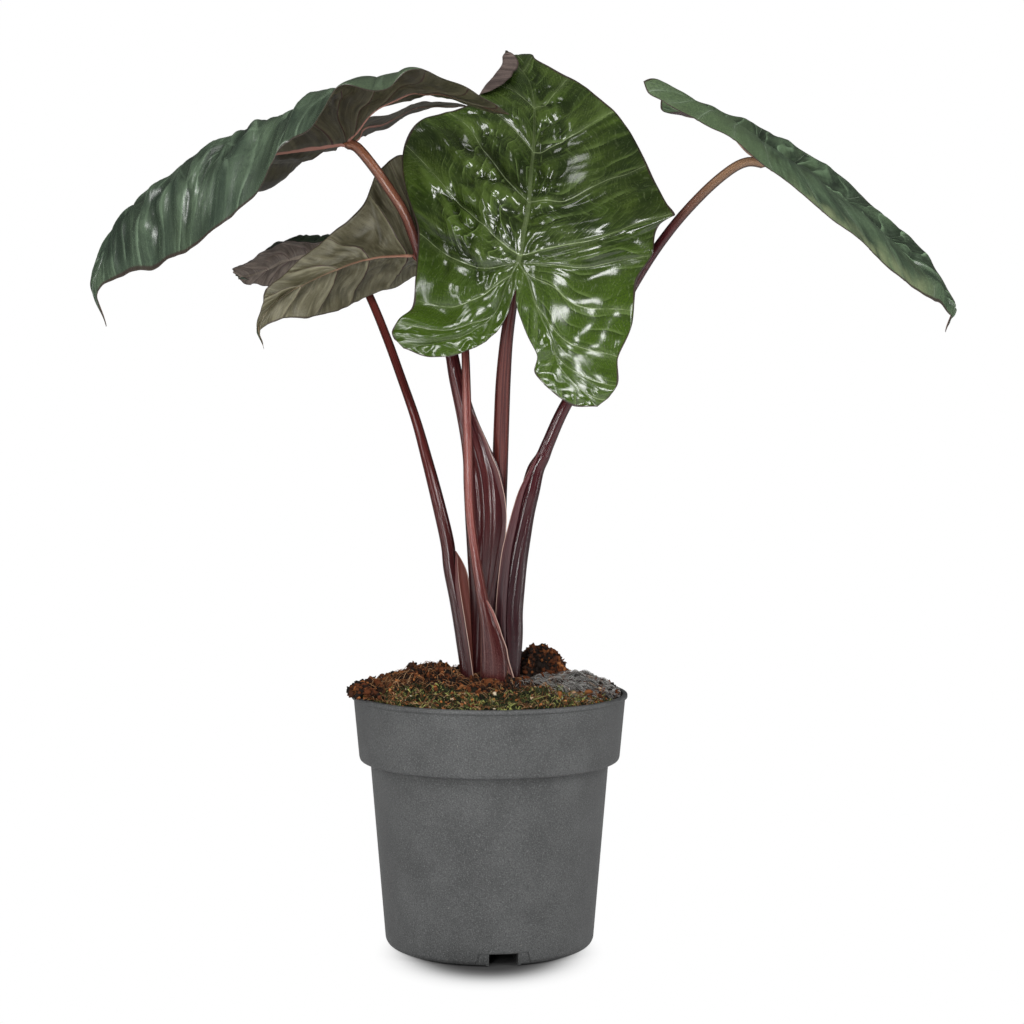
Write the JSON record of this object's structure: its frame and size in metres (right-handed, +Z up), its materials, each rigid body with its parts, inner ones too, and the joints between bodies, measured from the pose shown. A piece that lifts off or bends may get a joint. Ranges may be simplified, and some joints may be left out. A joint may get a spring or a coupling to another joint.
{
  "type": "potted alocasia plant",
  "caption": "Arrow-leaved aroid house plant with quilted glossy leaves on long dark red stalks, standing in a grey grower's pot of soil.",
  "frame": {"origin": "middle of the pot's underside, on the surface that the pot stands on", "axes": "+Z up, +X to the right and +Y away from the viewer when the front leaf faces the viewer"},
  "size_m": [0.539, 0.2254, 0.5663],
  "materials": {
    "pot": "matte mid-grey moulded plastic, faintly mottled",
    "soil": "loose brown coir and peat crumbs with moss at the edge",
    "leaf_front": "glossy deep green above with pale veins, brownish purple below",
    "leaf_big_left": "glossy bluish green above, brown below with a pink midrib",
    "leaf_right": "glossy bluish green above, purple below",
    "leaf_low_left": "dark green above, satin grey-brown below with purple veins",
    "leaf_back_left": "dark green above, satin purple-grey below",
    "stalk_front": "satin dark red-brown with fine pale stripes",
    "stalk_big_left": "satin dark purple, paling to pinkish tan at the leaf",
    "stalk_right": "satin dark purple-brown, paling to beige at the leaf",
    "stalk_low_left": "satin dusky pink with fine stripes",
    "stalk_back_left": "satin dark red-brown"
  },
  "bodies": {
    "root": {"pot": "pot", "soil": "soil", "leaf_front": "leaf_front", "leaf_big_left": "leaf_big_left", "leaf_right": "leaf_right", "leaf_low_left": "leaf_low_left", "leaf_back_left": "leaf_back_left", "stalk_front": "stalk_front", "stalk_big_left": "stalk_big_left", "stalk_right": "stalk_right", "stalk_low_left": "stalk_low_left", "stalk_back_left": "stalk_back_left"}
  },
  "joints": []
}
